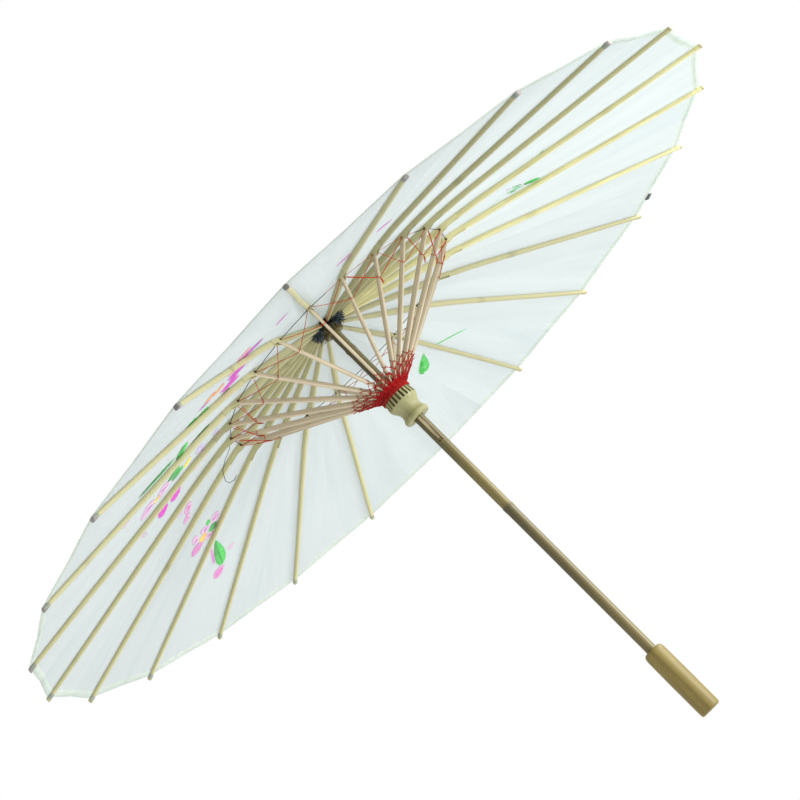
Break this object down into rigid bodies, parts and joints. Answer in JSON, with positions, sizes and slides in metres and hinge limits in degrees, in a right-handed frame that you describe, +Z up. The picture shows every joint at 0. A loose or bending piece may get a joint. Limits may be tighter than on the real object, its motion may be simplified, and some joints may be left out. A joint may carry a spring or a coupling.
{
  "type": "oil paper umbrella",
  "caption": "Open bamboo parasol with a pale translucent painted cloth canopy, split ribs and stretchers, a sliding turned runner with spring catch, and a dark shaft with a pale handle.",
  "frame": {"origin": "centre of the handle's flat end face, which is also the middle of the bounding box's bottom", "axes": "+Z up along the shaft towards the finial, rib 22 along +Y, rib 11 along -Y"},
  "size_m": [0.8142, 0.822, 0.531],
  "materials": {
    "rib_bamboo": "split bamboo, smooth skin side, satin",
    "stretcher_bamboo": "planed bamboo, pinkish tan, matt",
    "turned_wood": "pale turned wood, fine grain, satin",
    "dark_bamboo": "dark olive bamboo cane, glossy varnish",
    "canopy_cloth": "thin translucent cloth with painted blossoms",
    "red_thread": "twisted cotton thread",
    "dark_thread": "dark twisted cotton thread",
    "pale_thread": "pale twisted cotton thread"
  },
  "bodies": {
    "pole": {"handle": "turned_wood", "shaft": "dark_bamboo", "top_notch": "turned_wood", "notch_pin": "rib_bamboo", "notch_thread": "dark_thread", "finial": "turned_wood", "crown_cover": "canopy_cloth", "canopy": "canopy_cloth", "rim_thread": "pale_thread", "joint_thread": "dark_thread", "catch_pin": "dark_bamboo"},
    "runner": {"runner": "turned_wood", "runner_thread": "red_thread"},
    "catch": {"spring_catch": "rib_bamboo"},
    "rib_01": {"rib_01": "rib_bamboo"},
    "stretcher_01": {"stretcher_01": "stretcher_bamboo"},
    "rib_02": {"rib_02": "rib_bamboo"},
    "stretcher_02": {"stretcher_02": "stretcher_bamboo"},
    "rib_03": {"rib_03": "rib_bamboo"},
    "stretcher_03": {"stretcher_03": "stretcher_bamboo"},
    "rib_04": {"rib_04": "rib_bamboo"},
    "stretcher_04": {"stretcher_04": "stretcher_bamboo"},
    "rib_05": {"rib_05": "rib_bamboo"},
    "stretcher_05": {"stretcher_05": "stretcher_bamboo"},
    "rib_06": {"rib_06": "rib_bamboo"},
    "stretcher_06": {"stretcher_06": "stretcher_bamboo"},
    "rib_07": {"rib_07": "rib_bamboo"},
    "stretcher_07": {"stretcher_07": "stretcher_bamboo"},
    "rib_08": {"rib_08": "rib_bamboo"},
    "stretcher_08": {"stretcher_08": "stretcher_bamboo"},
    "rib_09": {"rib_09": "rib_bamboo"},
    "stretcher_09": {"stretcher_09": "stretcher_bamboo"},
    "rib_10": {"rib_10": "rib_bamboo"},
    "stretcher_10": {"stretcher_10": "stretcher_bamboo"},
    "rib_11": {"rib_11": "rib_bamboo"},
    "stretcher_11": {"stretcher_11": "stretcher_bamboo"},
    "rib_12": {"rib_12": "rib_bamboo"},
    "stretcher_12": {"stretcher_12": "stretcher_bamboo"},
    "rib_13": {"rib_13": "rib_bamboo"},
    "stretcher_13": {"stretcher_13": "stretcher_bamboo"},
    "rib_14": {"rib_14": "rib_bamboo"},
    "stretcher_14": {"stretcher_14": "stretcher_bamboo"},
    "rib_15": {"rib_15": "rib_bamboo"},
    "stretcher_15": {"stretcher_15": "stretcher_bamboo"},
    "rib_16": {"rib_16": "rib_bamboo"},
    "stretcher_16": {"stretcher_16": "stretcher_bamboo"},
    "rib_17": {"rib_17": "rib_bamboo"},
    "stretcher_17": {"stretcher_17": "stretcher_bamboo"},
    "rib_18": {"rib_18": "rib_bamboo"},
    "stretcher_18": {"stretcher_18": "stretcher_bamboo"},
    "rib_19": {"rib_19": "rib_bamboo"},
    "stretcher_19": {"stretcher_19": "stretcher_bamboo"},
    "rib_20": {"rib_20": "rib_bamboo"},
    "stretcher_20": {"stretcher_20": "stretcher_bamboo"},
    "rib_21": {"rib_21": "rib_bamboo"},
    "stretcher_21": {"stretcher_21": "stretcher_bamboo"},
    "rib_22": {"rib_22": "rib_bamboo"},
    "stretcher_22": {"stretcher_22": "stretcher_bamboo"}
  },
  "joints": [
    {"name": "runner_slide", "type": "slide", "parent": "pole", "child": "runner", "axis": [0, 0, -1], "range_m": [0, 0.17713], "deforming": ["canopy", "crown_cover", "joint_thread", "runner_thread", "rim_thread", "notch_thread", "spring_catch"]},
    {"name": "catch_press", "type": "hinge", "parent": "pole", "child": "catch", "pos_m": [0, -0.0028, 0.3346], "axis": [1, 0, 0], "range_deg": [0, 6.6], "stiffness_Nm_per_rad": 0.02},
    {"name": "rib_01_hinge", "type": "hinge", "parent": "pole", "child": "rib_01", "pos_m": [-0.0031, 0.01055, 0.485], "axis": [-0.9595, -0.2817, 0], "range_deg": [0, 76.24]},
    {"name": "stretcher_01_hinge", "type": "hinge", "parent": "rib_01", "child": "stretcher_01", "pos_m": [-0.03803, 0.12953, 0.467], "axis": [-0.9595, -0.2817, 0], "range_deg": [-132.75, 0]},
    {"name": "rib_02_hinge", "type": "hinge", "parent": "pole", "child": "rib_02", "pos_m": [-0.00595, 0.00925, 0.485], "axis": [-0.8413, -0.5406, 0], "range_deg": [0, 76.24]},
    {"name": "stretcher_02_hinge", "type": "hinge", "parent": "rib_02", "child": "stretcher_02", "pos_m": [-0.07299, 0.11357, 0.467], "axis": [-0.8413, -0.5406, 0], "range_deg": [-132.75, 0]},
    {"name": "rib_03_hinge", "type": "hinge", "parent": "pole", "child": "rib_03", "pos_m": [-0.00831, 0.0072, 0.485], "axis": [-0.6549, -0.7557, 0], "range_deg": [0, 76.24]},
    {"name": "stretcher_03_hinge", "type": "hinge", "parent": "rib_03", "child": "stretcher_03", "pos_m": [-0.10203, 0.08841, 0.467], "axis": [-0.6549, -0.7557, 0], "range_deg": [-132.75, 0]},
    {"name": "rib_04_hinge", "type": "hinge", "parent": "pole", "child": "rib_04", "pos_m": [-0.01001, 0.00457, 0.485], "axis": [-0.4154, -0.9096, 0], "range_deg": [0, 76.24]},
    {"name": "stretcher_04_hinge", "type": "hinge", "parent": "rib_04", "child": "stretcher_04", "pos_m": [-0.1228, 0.05608, 0.467], "axis": [-0.4154, -0.9096, 0], "range_deg": [-132.75, 0]},
    {"name": "rib_05_hinge", "type": "hinge", "parent": "pole", "child": "rib_05", "pos_m": [-0.01089, 0.00157, 0.485], "axis": [-0.1423, -0.9898, 0], "range_deg": [0, 76.24]},
    {"name": "stretcher_05_hinge", "type": "hinge", "parent": "rib_05", "child": "stretcher_05", "pos_m": [-0.13363, 0.01921, 0.467], "axis": [-0.1423, -0.9898, 0], "range_deg": [-132.75, 0]},
    {"name": "rib_06_hinge", "type": "hinge", "parent": "pole", "child": "rib_06", "pos_m": [-0.01089, -0.00157, 0.485], "axis": [0.1423, -0.9898, 0], "range_deg": [0, 76.24]},
    {"name": "stretcher_06_hinge", "type": "hinge", "parent": "rib_06", "child": "stretcher_06", "pos_m": [-0.13363, -0.01921, 0.467], "axis": [0.1423, -0.9898, 0], "range_deg": [-132.75, 0]},
    {"name": "rib_07_hinge", "type": "hinge", "parent": "pole", "child": "rib_07", "pos_m": [-0.01001, -0.00457, 0.485], "axis": [0.4154, -0.9096, 0], "range_deg": [0, 76.24]},
    {"name": "stretcher_07_hinge", "type": "hinge", "parent": "rib_07", "child": "stretcher_07", "pos_m": [-0.1228, -0.05608, 0.467], "axis": [0.4154, -0.9096, 0], "range_deg": [-132.75, 0]},
    {"name": "rib_08_hinge", "type": "hinge", "parent": "pole", "child": "rib_08", "pos_m": [-0.00831, -0.0072, 0.485], "axis": [0.6549, -0.7557, 0], "range_deg": [0, 76.24]},
    {"name": "stretcher_08_hinge", "type": "hinge", "parent": "rib_08", "child": "stretcher_08", "pos_m": [-0.10203, -0.08841, 0.467], "axis": [0.6549, -0.7557, 0], "range_deg": [-132.75, 0]},
    {"name": "rib_09_hinge", "type": "hinge", "parent": "pole", "child": "rib_09", "pos_m": [-0.00595, -0.00925, 0.485], "axis": [0.8413, -0.5406, 0], "range_deg": [0, 76.24]},
    {"name": "stretcher_09_hinge", "type": "hinge", "parent": "rib_09", "child": "stretcher_09", "pos_m": [-0.07299, -0.11357, 0.467], "axis": [0.8413, -0.5406, 0], "range_deg": [-132.75, 0]},
    {"name": "rib_10_hinge", "type": "hinge", "parent": "pole", "child": "rib_10", "pos_m": [-0.0031, -0.01055, 0.485], "axis": [0.9595, -0.2817, 0], "range_deg": [0, 76.24]},
    {"name": "stretcher_10_hinge", "type": "hinge", "parent": "rib_10", "child": "stretcher_10", "pos_m": [-0.03803, -0.12953, 0.467], "axis": [0.9595, -0.2817, 0], "range_deg": [-132.75, 0]},
    {"name": "rib_11_hinge", "type": "hinge", "parent": "pole", "child": "rib_11", "pos_m": [0, -0.011, 0.485], "axis": [1, 0, 0], "range_deg": [0, 76.24]},
    {"name": "stretcher_11_hinge", "type": "hinge", "parent": "rib_11", "child": "stretcher_11", "pos_m": [0, -0.135, 0.467], "axis": [1, 0, 0], "range_deg": [-132.75, 0]},
    {"name": "rib_12_hinge", "type": "hinge", "parent": "pole", "child": "rib_12", "pos_m": [0.0031, -0.01055, 0.485], "axis": [0.9595, 0.2817, 0], "range_deg": [0, 76.24]},
    {"name": "stretcher_12_hinge", "type": "hinge", "parent": "rib_12", "child": "stretcher_12", "pos_m": [0.03803, -0.12953, 0.467], "axis": [0.9595, 0.2817, 0], "range_deg": [-132.75, 0]},
    {"name": "rib_13_hinge", "type": "hinge", "parent": "pole", "child": "rib_13", "pos_m": [0.00595, -0.00925, 0.485], "axis": [0.8413, 0.5406, 0], "range_deg": [0, 76.24]},
    {"name": "stretcher_13_hinge", "type": "hinge", "parent": "rib_13", "child": "stretcher_13", "pos_m": [0.07299, -0.11357, 0.467], "axis": [0.8413, 0.5406, 0], "range_deg": [-132.75, 0]},
    {"name": "rib_14_hinge", "type": "hinge", "parent": "pole", "child": "rib_14", "pos_m": [0.00831, -0.0072, 0.485], "axis": [0.6549, 0.7557, 0], "range_deg": [0, 76.24]},
    {"name": "stretcher_14_hinge", "type": "hinge", "parent": "rib_14", "child": "stretcher_14", "pos_m": [0.10203, -0.08841, 0.467], "axis": [0.6549, 0.7557, 0], "range_deg": [-132.75, 0]},
    {"name": "rib_15_hinge", "type": "hinge", "parent": "pole", "child": "rib_15", "pos_m": [0.01001, -0.00457, 0.485], "axis": [0.4154, 0.9096, 0], "range_deg": [0, 76.24]},
    {"name": "stretcher_15_hinge", "type": "hinge", "parent": "rib_15", "child": "stretcher_15", "pos_m": [0.1228, -0.05608, 0.467], "axis": [0.4154, 0.9096, 0], "range_deg": [-132.75, 0]},
    {"name": "rib_16_hinge", "type": "hinge", "parent": "pole", "child": "rib_16", "pos_m": [0.01089, -0.00157, 0.485], "axis": [0.1423, 0.9898, 0], "range_deg": [0, 76.24]},
    {"name": "stretcher_16_hinge", "type": "hinge", "parent": "rib_16", "child": "stretcher_16", "pos_m": [0.13363, -0.01921, 0.467], "axis": [0.1423, 0.9898, 0], "range_deg": [-132.75, 0]},
    {"name": "rib_17_hinge", "type": "hinge", "parent": "pole", "child": "rib_17", "pos_m": [0.01089, 0.00157, 0.485], "axis": [-0.1423, 0.9898, 0], "range_deg": [0, 76.24]},
    {"name": "stretcher_17_hinge", "type": "hinge", "parent": "rib_17", "child": "stretcher_17", "pos_m": [0.13363, 0.01921, 0.467], "axis": [-0.1423, 0.9898, 0], "range_deg": [-132.75, 0]},
    {"name": "rib_18_hinge", "type": "hinge", "parent": "pole", "child": "rib_18", "pos_m": [0.01001, 0.00457, 0.485], "axis": [-0.4154, 0.9096, 0], "range_deg": [0, 76.24]},
    {"name": "stretcher_18_hinge", "type": "hinge", "parent": "rib_18", "child": "stretcher_18", "pos_m": [0.1228, 0.05608, 0.467], "axis": [-0.4154, 0.9096, 0], "range_deg": [-132.75, 0]},
    {"name": "rib_19_hinge", "type": "hinge", "parent": "pole", "child": "rib_19", "pos_m": [0.00831, 0.0072, 0.485], "axis": [-0.6549, 0.7557, 0], "range_deg": [0, 76.24]},
    {"name": "stretcher_19_hinge", "type": "hinge", "parent": "rib_19", "child": "stretcher_19", "pos_m": [0.10203, 0.08841, 0.467], "axis": [-0.6549, 0.7557, 0], "range_deg": [-132.75, 0]},
    {"name": "rib_20_hinge", "type": "hinge", "parent": "pole", "child": "rib_20", "pos_m": [0.00595, 0.00925, 0.485], "axis": [-0.8413, 0.5406, 0], "range_deg": [0, 76.24]},
    {"name": "stretcher_20_hinge", "type": "hinge", "parent": "rib_20", "child": "stretcher_20", "pos_m": [0.07299, 0.11357, 0.467], "axis": [-0.8413, 0.5406, 0], "range_deg": [-132.75, 0]},
    {"name": "rib_21_hinge", "type": "hinge", "parent": "pole", "child": "rib_21", "pos_m": [0.0031, 0.01055, 0.485], "axis": [-0.9595, 0.2817, 0], "range_deg": [0, 76.24]},
    {"name": "stretcher_21_hinge", "type": "hinge", "parent": "rib_21", "child": "stretcher_21", "pos_m": [0.03803, 0.12953, 0.467], "axis": [-0.9595, 0.2817, 0], "range_deg": [-132.75, 0]},
    {"name": "rib_22_hinge", "type": "hinge", "parent": "pole", "child": "rib_22", "pos_m": [0, 0.011, 0.485], "axis": [-1, 0, 0], "range_deg": [0, 76.24]},
    {"name": "stretcher_22_hinge", "type": "hinge", "parent": "rib_22", "child": "stretcher_22", "pos_m": [0, 0.135, 0.467], "axis": [-1, 0, 0], "range_deg": [-132.75, 0]}
  ],
  "couplings": [
    {"joint": "rib_01_hinge", "follows": "runner_slide", "rad_per_m": 7.5129},
    {"joint": "stretcher_01_hinge", "follows": "runner_slide", "rad_per_m": -13.081},
    {"joint": "rib_02_hinge", "follows": "runner_slide", "rad_per_m": 7.5129},
    {"joint": "stretcher_02_hinge", "follows": "runner_slide", "rad_per_m": -13.081},
    {"joint": "rib_03_hinge", "follows": "runner_slide", "rad_per_m": 7.5129},
    {"joint": "stretcher_03_hinge", "follows": "runner_slide", "rad_per_m": -13.081},
    {"joint": "rib_04_hinge", "follows": "runner_slide", "rad_per_m": 7.5129},
    {"joint": "stretcher_04_hinge", "follows": "runner_slide", "rad_per_m": -13.081},
    {"joint": "rib_05_hinge", "follows": "runner_slide", "rad_per_m": 7.5129},
    {"joint": "stretcher_05_hinge", "follows": "runner_slide", "rad_per_m": -13.081},
    {"joint": "rib_06_hinge", "follows": "runner_slide", "rad_per_m": 7.5129},
    {"joint": "stretcher_06_hinge", "follows": "runner_slide", "rad_per_m": -13.081},
    {"joint": "rib_07_hinge", "follows": "runner_slide", "rad_per_m": 7.5129},
    {"joint": "stretcher_07_hinge", "follows": "runner_slide", "rad_per_m": -13.081},
    {"joint": "rib_08_hinge", "follows": "runner_slide", "rad_per_m": 7.5129},
    {"joint": "stretcher_08_hinge", "follows": "runner_slide", "rad_per_m": -13.081},
    {"joint": "rib_09_hinge", "follows": "runner_slide", "rad_per_m": 7.5129},
    {"joint": "stretcher_09_hinge", "follows": "runner_slide", "rad_per_m": -13.081},
    {"joint": "rib_10_hinge", "follows": "runner_slide", "rad_per_m": 7.5129},
    {"joint": "stretcher_10_hinge", "follows": "runner_slide", "rad_per_m": -13.081},
    {"joint": "rib_11_hinge", "follows": "runner_slide", "rad_per_m": 7.5129},
    {"joint": "stretcher_11_hinge", "follows": "runner_slide", "rad_per_m": -13.081},
    {"joint": "rib_12_hinge", "follows": "runner_slide", "rad_per_m": 7.5129},
    {"joint": "stretcher_12_hinge", "follows": "runner_slide", "rad_per_m": -13.081},
    {"joint": "rib_13_hinge", "follows": "runner_slide", "rad_per_m": 7.5129},
    {"joint": "stretcher_13_hinge", "follows": "runner_slide", "rad_per_m": -13.081},
    {"joint": "rib_14_hinge", "follows": "runner_slide", "rad_per_m": 7.5129},
    {"joint": "stretcher_14_hinge", "follows": "runner_slide", "rad_per_m": -13.081},
    {"joint": "rib_15_hinge", "follows": "runner_slide", "rad_per_m": 7.5129},
    {"joint": "stretcher_15_hinge", "follows": "runner_slide", "rad_per_m": -13.081},
    {"joint": "rib_16_hinge", "follows": "runner_slide", "rad_per_m": 7.5129},
    {"joint": "stretcher_16_hinge", "follows": "runner_slide", "rad_per_m": -13.081},
    {"joint": "rib_17_hinge", "follows": "runner_slide", "rad_per_m": 7.5129},
    {"joint": "stretcher_17_hinge", "follows": "runner_slide", "rad_per_m": -13.081},
    {"joint": "rib_18_hinge", "follows": "runner_slide", "rad_per_m": 7.5129},
    {"joint": "stretcher_18_hinge", "follows": "runner_slide", "rad_per_m": -13.081},
    {"joint": "rib_19_hinge", "follows": "runner_slide", "rad_per_m": 7.5129},
    {"joint": "stretcher_19_hinge", "follows": "runner_slide", "rad_per_m": -13.081},
    {"joint": "rib_20_hinge", "follows": "runner_slide", "rad_per_m": 7.5129},
    {"joint": "stretcher_20_hinge", "follows": "runner_slide", "rad_per_m": -13.081},
    {"joint": "rib_21_hinge", "follows": "runner_slide", "rad_per_m": 7.5129},
    {"joint": "stretcher_21_hinge", "follows": "runner_slide", "rad_per_m": -13.081},
    {"joint": "rib_22_hinge", "follows": "runner_slide", "rad_per_m": 7.5129},
    {"joint": "stretcher_22_hinge", "follows": "runner_slide", "rad_per_m": -13.081}
  ]
}
